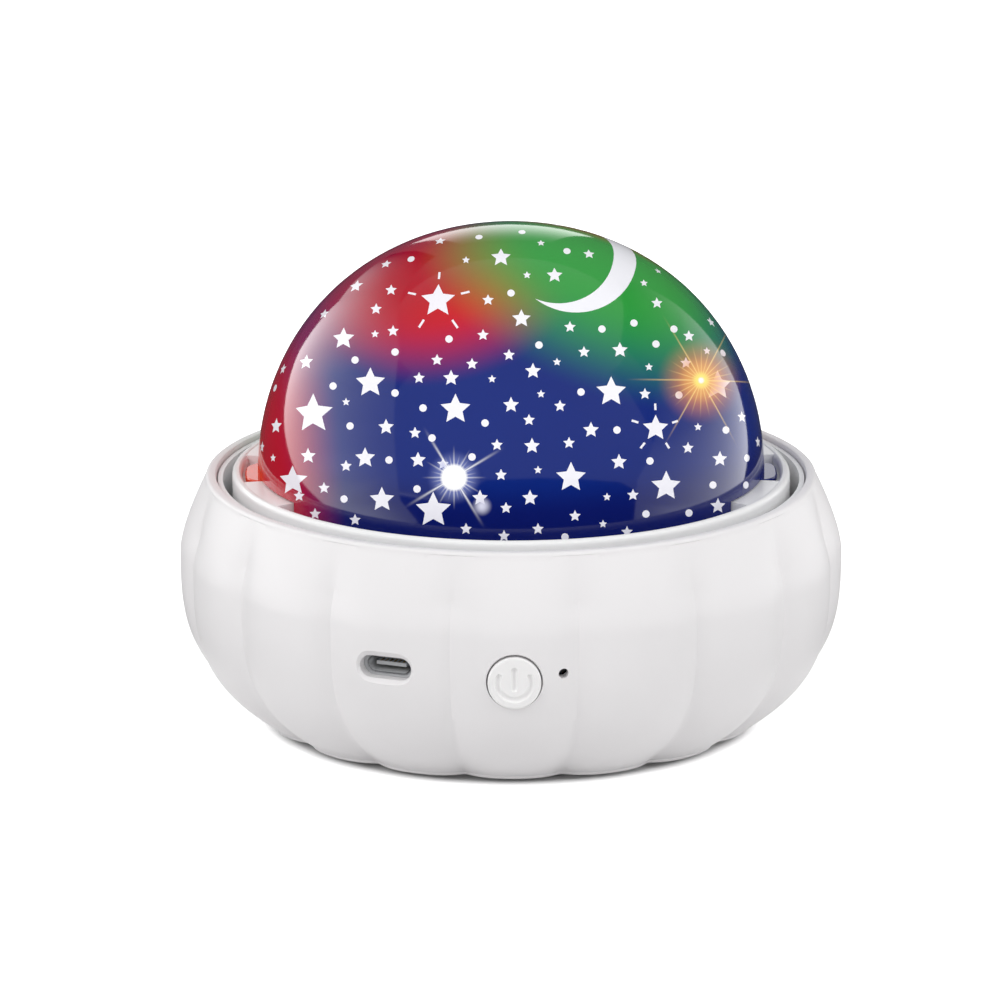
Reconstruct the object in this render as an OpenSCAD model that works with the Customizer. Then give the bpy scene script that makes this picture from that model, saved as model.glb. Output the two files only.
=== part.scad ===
// Star night light projector: a lobed round housing, a turning tray that
// carries a printed dome, and the lamp, gear motor, battery and controls
// inside. Millimetres, +Z up. The origin is the middle of the plane that the
// feet rest on, and the power button faces -Y.

/* [Housing] */
// Radius of the housing over the crests of its lobes
body_r = 65; // [63:0.5:70]
// Height of the housing from its bottom edge to its rim
body_h = 48; // [47.6:0.2:55]
// Radius of the bottom edge over the crests
base_r = 48.2; // [46.8:0.2:52]
// How far the rim's outside stands in from the widest place
rim_inset = 5.5; // [3.5:0.1:6]
// Height of the widest place above the bottom edge
waist_h = 32.8; // [31:0.2:38]
// Number of lobes around the housing
lobe_count = 16; // [12:4:24]
// Depth of the valleys between the lobes
lobe_depth = 1.6; // [0.8:0.1:2.2]
// Thickness of the housing wall under the valleys
wall = 2.2; // [1.8:0.1:2.6]
// Width of the flat band on the rim
rim_w = 1.7; // [1.4:0.1:2.2]
// Number of ribs that carry the chassis, with one place left out at the front
rib_count = 8; // [8:4:12]
// Thickness of each rib
rib_t = 1.6; // [1.2:0.1:2.4]

/* [Bottom cover and feet] */
// Radius of the bottom cover
cover_r = 43.2; // [42:0.1:44]
// Thickness of the part of the cover that lies in the housing's rebate
cover_t = 1.4; // [1.2:0.1:2]
// Thickness of the lip above the cover, which the cover's spigot fills
lip_t = 1.0; // [0.8:0.1:2]
// Width of the ledge that the cover bears on
ledge_w = 3.4; // [2.4:0.1:3.6]
// Radius of each rubber foot
foot_r = 6; // [4:0.5:7]
// Height that the feet stand proud of the cover
foot_proud = 1.0; // [0.6:0.1:2]
// Depth of the recess that holds each foot
foot_sink = 0.8; // [0.5:0.1:1.2]
// Distance of the feet from the middle
foot_pcr = 34; // [28:0.5:35]

/* [Chassis] */
// Depth of the chassis deck below the rim
deck_depth = 13.8; // [13.4:0.1:15]
// Thickness of the deck
deck_t = 2; // [1.6:0.1:3]
// Thickness of the collar around the deck
collar_t = 0.95; // [0.8:0.05:1.2]
// Distance of the collar's top below the rim
collar_drop = 0.9; // [0.4:0.1:1.5]
// Radius of each leg that takes a cover screw
leg_r = 3.5; // [3:0.1:3.8]
// Distance of the legs and cover screws from the middle
leg_pcr = 36; // [35.8:0.1:36.2]
// Height of the rail that the tray runs on
rail_h = 0.6; // [0.4:0.1:1]

/* [Tray] */
// Gap between the collar and the turning tray
tray_gap = 1.9; // [1.2:0.1:2.2]
// Thickness of the tray's outer wall
tray_wall = 1.9; // [1.5:0.1:2.1]
// Height of the tray's top edge above the rim
tray_rise = 0.8; // [0.2:0.1:1.5]
// Depth of the tray's floor below its top edge
tray_depth = 4.3; // [4:0.1:5]
// Thickness of the tray's floor
tray_floor_t = 1.8; // [1.4:0.1:2.2]
// Thickness of the skirt behind the gear teeth
skirt_t = 2.2; // [1.6:0.1:3]

/* [Dome] */
// Gap between the dome and the tray's wall, which the ears bridge
dome_gap = 3.05; // [2.95:0.05:4.2]
// Height of the dome above its widest place
dome_h = 49; // [40:0.5:52]
// Thickness of the dome's wall
dome_wall = 1.6; // [1.2:0.1:2.2]
// Fullness of the dome, where 2 is an ellipse
dome_fullness = 2.08; // [2:0.02:2.3]
// Length of the straight part of the dome below its widest place
dome_skirt = 3; // [2.6:0.1:3.4]
// Width of each ear along the rim
ear_w = 16; // [12:0.5:17]
// Thickness of each ear
ear_t = 1.2; // [1:0.1:1.4]
// Distance of the ears' upper face below the tray's top edge
ear_drop = 0.8; // [0.6:0.1:1.1]
// Angle from each ear's middle to the near side of a notch
notch_from = 10.5; // [10.5:0.5:12]
// Angle from each ear's middle to the far side of a notch
notch_to = 32; // [24:1:40]
// Height of the notches above the dome's lower edge
notch_h = 4.1; // [3:0.1:4.1]

/* [Controls] */
// Radius of the power button
button_r = 5.1; // [4.5:0.1:6]
// Height of the button's middle above the housing's bottom edge
button_h = 23.9; // [23:0.1:26.5]
// Travel of the button
button_travel = 0.8; // [0.4:0.1:1]
// Angle of the charging port from the front
port_angle = -22.5; // [-24:0.5:-20]
// Width of the port's opening
port_w = 10.6; // [10:0.1:11.5]
// Height of the port's opening
port_open_h = 4.4; // [4.2:0.1:5]
// Height of the port's middle and the indicator above the button's middle
port_lift = 1.4; // [1:0.1:1.6]
// Distance of the indicator hole beside the button's middle
hole_x = 9.5; // [9.2:0.1:11]
// Radius of the indicator hole
hole_r = 1; // [0.7:0.05:1.2]
// Width and height of the square power switch
switch_w = 6; // [5:0.5:6]

/* [Drive] */
// Module of the gears
gear_m = 1; // [1:0.01:1.02]
// Number of teeth inside the tray
ring_teeth = 80; // [80:4:80]
// Number of teeth on the drive gear
drive_teeth = 14; // [12:2:16]
// Width of the drive gear's teeth
gear_w = 5; // [4:0.5:5]
// Radius of the motor and its gear case
motor_r = 12; // [10:0.5:12.5]
// Distance of the output shaft from the motor's middle
shaft_offset = 7.5; // [6:0.5:8]
// Radius of the output shaft
shaft_r = 2.5; // [2:0.1:3]
// Height of the motor can
can_h = 11; // [9:0.5:12]
// Height of the gear case
case_h = 6; // [5.5:0.1:7]
// Distance between the motor's two screws
motor_screw_w = 35; // [34.5:0.1:35.5]

/* [Battery] */
// Radius of the battery cell
cell_r = 9.15; // [7:0.05:9.2]
// Length of the battery cell
cell_l = 65; // [50:1:65]
// Place of the cell's middle line, behind the front of the housing, along Y
cell_y = -10; // [-11:0.1:-8]
// Thickness of the holder's end walls and side walls
holder_t = 1.5; // [1.2:0.1:1.6]

/* [Lamp] */
// Radius of the plate that covers the drive and carries the lamp
lamp_r = 41.5; // [41:0.1:43]
// Thickness of that plate
lamp_t = 1.5; // [1.2:0.1:2]
// Outer radius of the lamp's cup
cup_r = 14.5; // [13:0.1:17]
// Height of the cup above the plate
cup_h = 6; // [5:0.5:9]
// Radius of each lamp
led_r = 2.5; // [2.4:0.1:2.6]
// Length of each lamp from its board to its tip
led_l = 8.6; // [7:0.1:10]
// Distance of the lamps from the middle
led_pcr = 6.5; // [5.5:0.1:8]

/* [Screws and clearances] */
// Radius of the screw shanks
screw_r = 1.4; // [1.2:0.1:1.5]
// Radius of the screw heads
head_r = 2.7; // [2.4:0.1:2.8]
// Height of the screw heads
head_h = 1.2; // [1:0.1:1.2]
// Gap between parts that slide or turn past each other
run_gap = 0.3; // [0.25:0.05:0.4]
// Gap between parts that are fixed together
fit_gap = 0.15; // [0.1:0.05:0.2]
// Gap around a turning shaft
shaft_gap = 0.06; // [0.04:0.01:0.1]

/* [Hidden] */
$fn = 96;
eps = 0.01;

// Heights above the resting plane
base_z = foot_proud;
cover_top = base_z + cover_t;
lip_top = cover_top + lip_t;
rim_z = base_z + body_h;
deck_top = rim_z - deck_depth;
deck_z = deck_top - deck_t;
tray_top = rim_z + tray_rise;
tray_z = deck_top + rail_h + run_gap;
floor_top = tray_top - tray_depth;
floor_z = floor_top - tray_floor_t;
dome_z = floor_top + run_gap;
equator_z = dome_z + dome_skirt;
lamp_z = floor_top + run_gap;
lamp_top = lamp_z + lamp_t;
button_z = base_z + button_h;
port_z = button_z + port_lift;

// Radii from the rim inwards
rim_r = body_r - rim_inset;
cavity_top_r = rim_r - rim_w;
collar_r = cavity_top_r - 2 * fit_gap;
tray_r = collar_r - collar_t - tray_gap;
tray_in_r = tray_r - tray_wall;
dome_r = tray_in_r - dome_gap;
dome_in_r = dome_r - dome_wall;
ear_r = tray_in_r - 2 * run_gap;
lip_r = cover_r - ledge_w;
rib_reach = 11;
rib_in_r = body_r - rib_reach;

// Shape of the housing's outside
lower_power = 3.22;
upper_power = 1.43;
valley_fade = 12;
rim_round = 0.8;
rim_angles = [30, 60, 90];
lobe_steps = 8;
columns = lobe_count * lobe_steps;
rows = [0, 0.02, 0.05, 0.1, 0.16, 0.22, 0.29, 0.36, 0.43, 0.5, 0.57, 0.64,
        0.7, 0.76, 0.82, 0.87, 0.92, 0.96, 1];

// Radius over the crests at a height h above the bottom edge
function crest_r(h) = h < waist_h
    ? body_r - (body_r - base_r) * pow(1 - h / waist_h, lower_power)
    : body_r - (body_r - rim_r) * pow((h - waist_h) / (body_h - waist_h), upper_power);

// How far the wall stands in from the crests, from 0 on a crest to 1 in a valley
function lobe_share(a) =
    let (turn = a * lobe_count / 360, off = turn - round(turn))
    pow(2 * off, 2);

function valley_depth(h) = lobe_depth * min(1, max(0, (body_h - h) / valley_fade));

// Radius of the inside of the wall at a height z above the resting plane
function wall_r(z) = crest_r(z - base_z) - lobe_depth - wall;

function skin_r(a, h) = crest_r(h) - valley_depth(h) * lobe_share(a);

// The angle a is counted from the front, -Y, towards +X
function around(r, a, z) = [r * sin(a), -r * cos(a), z];

// One ring of points, at a share s of the height under the rim's rounding
function skin_ring(s) =
    let (h = s * (body_h - rim_round))
    [for (i = [0:columns - 1]) around(skin_r(i * 360 / columns, h), i * 360 / columns, base_z + h)];

// The rim's rounding, from its side, 0 degrees, to its top, 90 degrees
function round_ring(t) =
    let (r = crest_r(body_h - rim_round) - rim_round * (1 - cos(t)),
         z = rim_z - rim_round * (1 - sin(t)))
    [for (i = [0:columns - 1]) around(r, i * 360 / columns, z)];

module lobed_body() {
    rings = concat([for (s = rows) skin_ring(s)], [for (t = rim_angles) round_ring(t)]);
    levels = len(rings);
    points = [for (ring = rings) each ring];
    sides = [for (j = [0:levels - 2], i = [0:columns - 1])
        let (a = j * columns + i, b = j * columns + (i + 1) % columns)
        each [[a, a + columns, b + columns], [a, b + columns, b]]];
    bottom = [for (i = [0:columns - 1]) i];
    top = [for (i = [0:columns - 1]) (levels - 1) * columns + columns - 1 - i];
    polyhedron(points, concat(sides, [bottom, top]), convexity = 6);
}

// A ring sector from angle a1 to a2, counted from +X
module sector(r1, r2, a1, a2, z1, z2) {
    rotate_extrude(angle = a2 - a1, start = a1)
        translate([r1, z1]) square([r2 - r1, z2 - z1]);
}

module ring(r1, r2, z1, z2) {
    rotate_extrude() translate([r1, z1]) square([r2 - r1, z2 - z1]);
}

module post(r, z1, z2) {
    translate([0, 0, z1]) cylinder(r = r, h = z2 - z1);
}

// Places its children on a circle, from a first angle counted from +X
module on_circle(count, r, first) {
    for (i = [0:count - 1])
        rotate([0, 0, first + i * 360 / count]) translate([r, 0, 0]) children();
}

// A slot with round ends, w wide and h high, cut inwards along +Y from the origin
module slot(w, h, depth) {
    translate([-(w - h) / 2, 0, -h / 2]) cube([w - h, depth, h]);
    for (side = [-1, 1])
        translate([side * (w - h) / 2, 0, 0]) rotate([-90, 0, 0]) cylinder(d = h, h = depth);
}

// A screw whose head lies below z, with its shank going up
module screw_up(z, length) {
    post(head_r, z - head_h, z);
    post(screw_r, z - eps, z + length);
}

// A screw whose head lies above z, with its shank going down
module screw_down(z, length) {
    post(head_r, z, z + head_h);
    post(screw_r, z - length, z + eps);
}

// ---- Housing, cover and feet ------------------------------------------

feet_count = 4;
leg_count = 4;
leg_first = 45;
cover_screw_l = 11;
head_room = 0.1;
foot_edge = 0.5;
pilot_r = screw_r + shaft_gap;
head_hole_r = head_r + head_room;
chassis_seat_z = deck_z;
slot_sink = 1.3;
slot_face_r = body_r - slot_sink;
slot_rim = 0.9;
hole_angle = asin(hole_x / body_r);
front = 270;
front_clear = 20;
ledge_rise = 1;

// Inside of the housing, in half section: it follows the wall under the valleys
module cavity_section() {
    steps = 14;
    skin = [for (i = [0:steps])
        let (z = lip_top + (deck_z - lip_top) * i / steps)
        [wall_r(z), z]];
    polygon(concat([[0, lip_top]], skin,
        [[cavity_top_r, deck_z + ledge_rise], [cavity_top_r, rim_z + 1], [0, rim_z + 1]]));
}

module housing_ribs() {
    for (i = [0:rib_count - 1]) {
        a = i * 360 / rib_count;
        if (abs(a - front) > front_clear)
            rotate([0, 0, a]) translate([rib_in_r, -rib_t / 2, 0])
                cube([body_r - rib_in_r, rib_t, chassis_seat_z]);
    }
}

module base_housing() color("whitesmoke") difference() {
    lobed_body();
    difference() {
        rotate_extrude() cavity_section();
        housing_ribs();
    }
    post(lip_r, base_z - 1, lip_top + 1);
    post(cover_r + fit_gap, base_z - 1, cover_top);
    translate([0, -body_r - 1, button_z]) rotate([-90, 0, 0])
        cylinder(r = button_r + run_gap - shaft_gap, h = body_r / 5);
    rotate([0, 0, port_angle]) translate([0, -body_r - 1, port_z])
        slot(port_w, port_open_h, body_r / 5);
    rotate([0, 0, port_angle]) translate([0, -body_r - 1, port_z])
        slot(port_w + 2 * slot_rim, port_open_h + 2 * slot_rim, body_r + 1 - slot_face_r);
    rotate([0, 0, hole_angle]) translate([0, -body_r - 1, port_z]) rotate([-90, 0, 0])
        cylinder(r = hole_r, h = body_r / 5);
}

module bottom_cover() color("gainsboro") difference() {
    union() {
        post(cover_r, base_z, cover_top);
        post(lip_r - fit_gap, cover_top - eps, lip_top);
    }
    on_circle(feet_count, foot_pcr, 0) post(foot_r + fit_gap, base_z - 1, base_z + foot_sink);
    on_circle(leg_count, leg_pcr, leg_first) {
        post(head_hole_r, base_z - 1, base_z + head_h + head_room);
        post(pilot_r, base_z, lip_top + 1);
    }
}

module rubber_feet() color("dimgray")
    on_circle(feet_count, foot_pcr, 0) rotate_extrude() polygon([
        [0, 0], [foot_r - foot_edge, 0], [foot_r, foot_edge], [foot_r, foot_proud + foot_sink],
        [0, foot_proud + foot_sink]]);

module cover_screws() color("silver")
    on_circle(leg_count, leg_pcr, leg_first)
        screw_up(base_z + head_h + head_room, cover_screw_l);

// ---- Chassis -------------------------------------------------------------

lamp_post_count = 3;
lamp_post_pcr = 30;
lamp_post_first = 30;
lamp_post_r = 3;
lamp_screw_l = 8;
motor_y = ring_teeth * gear_m / 2 - drive_teeth * gear_m / 2;
motor_mid_y = motor_y - shaft_offset;
motor_boss_r = 3;
motor_boss_h = 3;
motor_screw_l = 4.4;
case_boss_r = 4.5;
case_boss_h = 1.5;
wire_hole_r = 5;
board_top = button_z - switch_w / 2;
board_t = 1.6;
board_z = board_top - board_t;
board_post_r = 2.8;
board_posts = [[-28, -41], [13, -41]];
board_screw_l = 6;

module at_motor_screws() {
    for (side = [-1, 1])
        translate([side * motor_screw_w / 2, motor_mid_y, 0]) children();
}

module at_board_screws() {
    for (place = board_posts)
        translate([place[0], place[1], 0]) children();
}

module chassis() color("whitesmoke") difference() {
    union() {
        post(collar_r, deck_z, deck_top);
        ring(collar_r - collar_t, collar_r, deck_z, rim_z - collar_drop);
        ring(tray_in_r + run_gap, tray_r - run_gap, deck_top - eps, deck_top + rail_h);
        on_circle(leg_count, leg_pcr, leg_first) post(leg_r, lip_top, deck_z + eps);
        on_circle(lamp_post_count, lamp_post_pcr, lamp_post_first)
            post(lamp_post_r, deck_top - eps, lamp_z);
        at_motor_screws() post(motor_boss_r, deck_top - eps, deck_top + motor_boss_h);
        at_board_screws() post(board_post_r, board_top, deck_z + eps);
    }
    on_circle(leg_count, leg_pcr, leg_first) post(pilot_r, lip_top - 1, lip_top + cover_screw_l);
    on_circle(lamp_post_count, lamp_post_pcr, lamp_post_first)
        post(pilot_r, lamp_z - lamp_screw_l, lamp_z + 1);
    at_motor_screws() post(pilot_r, deck_z - 1, deck_z + motor_screw_l);
    at_board_screws() post(pilot_r, board_top - 1, board_top + board_screw_l);
    translate([0, motor_y, 0]) post(case_boss_r + fit_gap, deck_z - 1, deck_top + 1);
    post(wire_hole_r, deck_z - 1, deck_top + 1);
}

// ---- Tray with its inner gear, and the drive gear -----------------------

pressure_angle = 20;
addendum = 0.9;
dedendum = 1.25;
backlash = 0.08;

function involute(a) = tan(a) * 180 / PI - a;

// Half the angle that a tooth spans at radius r, on a gear with pitch radius rp
function tooth_half(r, rp, teeth, extra) =
    let (rb = rp * cos(pressure_angle))
    90 / teeth + extra * 180 / PI / rp + involute(pressure_angle)
        - involute(acos(min(1, rb / r)));

// Outline of a gear with teeth from radius r1 to r2, made wider by extra a side
function gear_outline(teeth, r1, r2, extra) =
    let (rp = teeth * gear_m / 2, steps = 2,
         radii = [for (i = [0:steps]) r1 + (r2 - r1) * i / steps])
    [for (k = [0:teeth - 1])
        let (mid = k * 360 / teeth)
        each concat(
            [for (r = radii) let (a = mid - tooth_half(r, rp, teeth, extra)) [r * cos(a), r * sin(a)]],
            [for (i = [steps:-1:0])
                let (r = radii[i], a = mid + tooth_half(r, rp, teeth, extra))
                [r * cos(a), r * sin(a)]])];

ring_pitch_r = ring_teeth * gear_m / 2;
ring_root_r = ring_pitch_r + dedendum * gear_m;
drive_pitch_r = drive_teeth * gear_m / 2;
skirt_r = ring_root_r + skirt_t;
skirt_clear = 2.4;
skirt_z = deck_top + skirt_clear;
floor_overlap = 0.4;
floor_in_r = ring_pitch_r - floor_overlap;
gear_clear = 0.5;
gear_top = floor_z - gear_clear;
seat_top = tray_top - ear_drop - ear_t - run_gap;
lug_top = dome_z + notch_h - run_gap;

module tray_section() {
    edge = tray_wall / 2;
    edge_arc = [for (t = [0:22.5:180]) [tray_r - edge + edge * cos(t), tray_top - edge + edge * sin(t)]];
    polygon(concat([[tray_r, tray_z]], edge_arc,
        [[tray_in_r, floor_top], [floor_in_r, floor_top], [floor_in_r, floor_z],
         [tray_in_r, floor_z], [tray_in_r, tray_z]]));
}

module turntable() color("white") {
    rotate_extrude() tray_section();
    difference() {
        post(skirt_r, skirt_z, floor_z + eps);
        translate([0, 0, skirt_z - 1]) linear_extrude(floor_z - skirt_z + 2)
            polygon(gear_outline(ring_teeth, ring_pitch_r - addendum * gear_m, ring_root_r, backlash));
    }
    for (side = [0, 180]) {
        sector(dome_r + run_gap, tray_in_r + tray_wall / 2, side - notch_from + 0.5,
            side + notch_from - 0.5, floor_top - eps, seat_top);
        for (a = [side - notch_to, side + notch_from])
            sector(dome_in_r + run_gap, tray_in_r + tray_wall / 2, a + 0.5,
                a + notch_to - notch_from - 0.5, floor_top - eps, lug_top);
    }
}

// ---- Dome --------------------------------------------------------------------

dome_steps = 24;

// Outline of the dome's skin from its widest place to its top
function dome_curve(r, h) = [for (i = [0:dome_steps])
    let (t = i * 90 / dome_steps)
    [i == dome_steps ? 0 : r * pow(cos(t), 2 / dome_fullness),
     equator_z + h * pow(sin(t), 2 / dome_fullness)]];

module dome_section() {
    inner = dome_curve(dome_in_r, dome_h - dome_wall);
    polygon(concat([[dome_in_r, dome_z], [dome_r, dome_z]], dome_curve(dome_r, dome_h),
        [for (i = [dome_steps:-1:0]) inner[i]]));
}

module star_dome() color("midnightblue") difference() {
    union() {
        rotate_extrude() dome_section();
        for (side = [0, 180])
            sector(dome_r - dome_wall / 2, ear_r, side - ear_w / 2 * 180 / PI / ear_r,
                side + ear_w / 2 * 180 / PI / ear_r, tray_top - ear_drop - ear_t,
                tray_top - ear_drop);
    }
    for (side = [0, 180], a = [side - notch_to, side + notch_from])
        sector(dome_in_r - 1, dome_r + 1, a, a + notch_to - notch_from, dome_z - 1,
            dome_z + notch_h);
}

// ---- Drive gear and gear motor --------------------------------------------

module at_shaft() {
    translate([0, motor_y, 0]) children();
}

module drive_gear() color("ivory") at_shaft() difference() {
    translate([0, 0, gear_top - gear_w]) rotate([0, 0, 90]) linear_extrude(gear_w)
        polygon(gear_outline(drive_teeth, drive_pitch_r - dedendum * gear_m,
            drive_pitch_r + addendum * gear_m, -backlash));
    post(shaft_r + shaft_gap, deck_z, floor_top);
}

case_z = deck_z - case_h;
can_z = case_z - can_h;
shaft_sink = 4;
motor_ear_r = 3.5;
motor_ear_t = 0.8;
shaft_clear = 0.2;
can_inset = 0.4;
can_edge = 1.1;

module motor_shaft() color("silver") at_shaft()
    post(shaft_r, deck_z - shaft_sink, gear_top - shaft_clear);

module motor_gearcase() color("lightgray") difference() {
    union() {
        translate([0, motor_mid_y, 0]) post(motor_r, case_z, deck_z);
        translate([-motor_screw_w / 2, motor_mid_y - motor_ear_r, deck_z - motor_ear_t])
            cube([motor_screw_w, 2 * motor_ear_r, motor_ear_t]);
        at_motor_screws() post(motor_ear_r, deck_z - motor_ear_t, deck_z);
        at_shaft() post(case_boss_r, deck_z - eps, deck_z + case_boss_h);
    }
    at_shaft() post(shaft_r + shaft_gap, deck_z - shaft_sink - shaft_clear, deck_top + 1);
    at_motor_screws() post(pilot_r, deck_z - motor_ear_t - 1, deck_z + 1);
}

module motor_can() color("silver") translate([0, motor_mid_y, 0]) rotate_extrude()
    polygon([[0, can_z], [motor_r - can_inset - can_edge, can_z],
        [motor_r - can_inset, can_z + can_edge], [motor_r - can_inset, case_z], [0, case_z]]);

module motor_screws() color("silver") at_motor_screws()
    screw_up(deck_z - motor_ear_t, motor_screw_l);

// ---- Lamp -----------------------------------------------------------------

cup_wall = 1.5;
led_board_t = 1.2;
led_board_z = lamp_top + cup_h / 2;
led_board_top = led_board_z + led_board_t;
led_flange_r = 2.9;
led_flange_t = 1;
cup_foot_w = 2;
cup_foot_t = 1;

module lamp_deck() color("white") difference() {
    post(lamp_r, lamp_z, lamp_top);
    post(wire_hole_r, lamp_z - 1, lamp_top + 1);
    on_circle(lamp_post_count, lamp_post_pcr, lamp_post_first)
        post(pilot_r, lamp_z - 1, lamp_top + 1);
}

module lamp_deck_screws() color("silver")
    on_circle(lamp_post_count, lamp_post_pcr, lamp_post_first)
        screw_down(lamp_top, lamp_screw_l);

// A cup with a step inside that the lamp board lies on
module led_holder() color("white") rotate_extrude() polygon([
    [cup_r - 2 * cup_wall, lamp_top], [cup_r + cup_foot_w, lamp_top],
    [cup_r + cup_foot_w, lamp_top + cup_foot_t], [cup_r, lamp_top + 2 * cup_foot_t],
    [cup_r, lamp_top + cup_h], [cup_r - cup_wall, lamp_top + cup_h],
    [cup_r - cup_wall, led_board_z], [cup_r - 2 * cup_wall, led_board_z]]);

module led_board() color("darkgreen")
    post(cup_r - cup_wall - fit_gap, led_board_z, led_board_top);

module lamp(a) {
    rotate([0, 0, a]) translate([led_pcr, 0, 0]) {
        post(led_flange_r, led_board_top, led_board_top + led_flange_t);
        post(led_r, led_board_top, led_board_top + led_l - led_r);
        translate([0, 0, led_board_top + led_l - led_r]) sphere(r = led_r);
    }
}

module red_led() color("red") lamp(135);

module green_led() color("limegreen") lamp(45);

module blue_led() color("blue") lamp(225);

module white_led() color("white") lamp(315);

// ---- Board, port, switch, button and indicator -----------------------------

board_r = wall_r(board_z) - fit_gap;
board_x1 = -36;
board_x2 = 18;
board_y2 = -37;
shell_w = 8.94;
shell_h = 3.26;
shell_l = 7.35;
shell_wall = 0.3;
tongue_h = 0.7;
port_depth = 1.8;
port_front_r = slot_face_r - port_depth;
switch_depth = 3.6;
plunger_r = 1.6;
button_face_y = -body_r;
flange_t = 1;
flange_w = 1.1;
flange_r = button_r + flange_w;
flange_clear = 0.9;
flange_y = flange_clear - wall_r(button_z - flange_r);
nose_l = 0.7;
plunger_y = flange_y + flange_t + nose_l;
plunger_l = 1.4;
switch_y = plunger_y + plunger_l;
board_notch_y = switch_y - button_travel;
lamp_clear = 0.66;
lamp_front_r = wall_r(port_z) - lamp_clear;
lamp_body_r = 1.5;
lamp_body_l = 3;
button_edge = 0.4;

module control_board() color("darkgreen") difference() {
    intersection() {
        post(board_r, board_z, board_top);
        translate([board_x1, -body_r, board_z - 1])
            cube([board_x2 - board_x1, body_r + board_y2, board_t + 2]);
    }
    translate([-flange_r - flange_t, -body_r, board_z - 1])
        cube([2 * (flange_r + flange_t), body_r + board_notch_y, board_t + 2]);
    at_board_screws() post(pilot_r, board_z - 1, board_top + 1);
}

module board_screws() color("silver") at_board_screws()
    screw_up(board_z, board_t + board_screw_l);

module charging_port() color("silver") rotate([0, 0, port_angle])
    translate([0, -port_front_r, port_z]) {
        difference() {
            slot(shell_w, shell_h, shell_l);
            translate([0, -1, 0])
                slot(shell_w - 2 * shell_wall, shell_h - 2 * shell_wall, shell_l);
        }
        translate([-shell_w / 2 + 1.4, 1.2, -tongue_h / 2])
            cube([shell_w - 2.8, shell_l - 1.4, tongue_h]);
        translate([-shell_w / 2 + 0.4, 2.4, board_top - port_z])
            cube([shell_w - 0.8, shell_l - 2.4, port_z - board_top - shell_h / 2 + shell_wall / 2]);
    }

module along_y(y1, y2, r) {
    translate([0, y1, button_z]) rotate([-90, 0, 0]) cylinder(r = r, h = y2 - y1);
}

module power_switch() color("dimgray") difference() {
    translate([-switch_w / 2, switch_y, board_top]) cube([switch_w, switch_depth, switch_w]);
    along_y(switch_y - 1, switch_y + switch_depth - 0.6, plunger_r + shaft_gap);
}

module switch_plunger() color("black")
    along_y(plunger_y, switch_y + switch_depth - 0.8 - button_travel, plunger_r);

module power_button() color("white") {
    translate([0, button_face_y, button_z]) rotate([-90, 0, 0]) rotate_extrude() polygon([
        [0, 0], [button_r - button_edge, 0], [button_r, button_edge],
        [button_r, flange_y - button_face_y],
        [flange_r, flange_y - button_face_y], [flange_r, flange_y - button_face_y + flange_t],
        [plunger_r, flange_y - button_face_y + flange_t], [plunger_r, plunger_y - button_face_y],
        [0, plunger_y - button_face_y]]);
}

module indicator_led() color("honeydew") rotate([0, 0, hole_angle]) {
    translate([0, -lamp_front_r + lamp_body_r, port_z]) {
        sphere(r = lamp_body_r);
        rotate([-90, 0, 0]) cylinder(r = lamp_body_r, h = lamp_body_l);
    }
    translate([-lamp_body_r, -lamp_front_r + lamp_body_l, board_top])
        cube([2 * lamp_body_r, lamp_body_l, port_z + lamp_body_r - board_top]);
}

// ---- Battery ---------------------------------------------------------------

cell_gap = 0.2;
contact_t = 0.5;
contact_w = 8;
holder_floor = 1.4;
cell_z = lip_top + holder_floor + cell_gap + cell_r;
nub_r = 2.8;
nub_l = 1.2;
holder_in_l = cell_l + 2 * (nub_l + contact_t + cell_gap);
holder_l = holder_in_l + 2 * holder_t;
holder_w = 2 * (cell_r + cell_gap + holder_t);

module along_x(x, length, r) {
    translate([x, cell_y, cell_z]) rotate([0, 90, 0]) cylinder(r = r, h = length);
}

module battery() color("steelblue") {
    along_x(-cell_l / 2, cell_l, cell_r);
    along_x(cell_l / 2 - eps, nub_l, nub_r);
    along_x(-cell_l / 2 - nub_l, nub_l + eps, nub_r);
}

module battery_holder() color("dimgray") difference() {
    translate([-holder_l / 2, cell_y - holder_w / 2, lip_top])
        cube([holder_l, holder_w, cell_z - lip_top]);
    along_x(-holder_in_l / 2, holder_in_l, cell_r + cell_gap);
}

module battery_contacts() color("gold")
    for (side = [-1, 1])
        translate([side * (holder_in_l - contact_t) / 2 - contact_t / 2,
            cell_y - contact_w / 2, cell_z - contact_w / 2])
            cube([contact_t, contact_w, contact_w]);

base_housing();
bottom_cover();
rubber_feet();
cover_screws();
chassis();
turntable();
star_dome();
drive_gear();
motor_shaft();
motor_gearcase();
motor_can();
motor_screws();
lamp_deck();
lamp_deck_screws();
led_holder();
led_board();
red_led();
green_led();
blue_led();
white_led();
control_board();
board_screws();
charging_port();
power_switch();
switch_plunger();
power_button();
indicator_led();
battery();
battery_holder();
battery_contacts();
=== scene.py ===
"""Looks of the star night light projector.

The frame's solids keep their places. This script gives each of them its
finish, and stands finer meshes in for the lobed housing, the charging socket,
the button and the printed dome. Lengths in the frame are metres, and sizes
named here are millimetres unless a comment says otherwise.
"""

import math
import random

import bmesh
import bpy
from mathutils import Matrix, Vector
from mathutils.geometry import delaunay_2d_cdt


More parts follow.
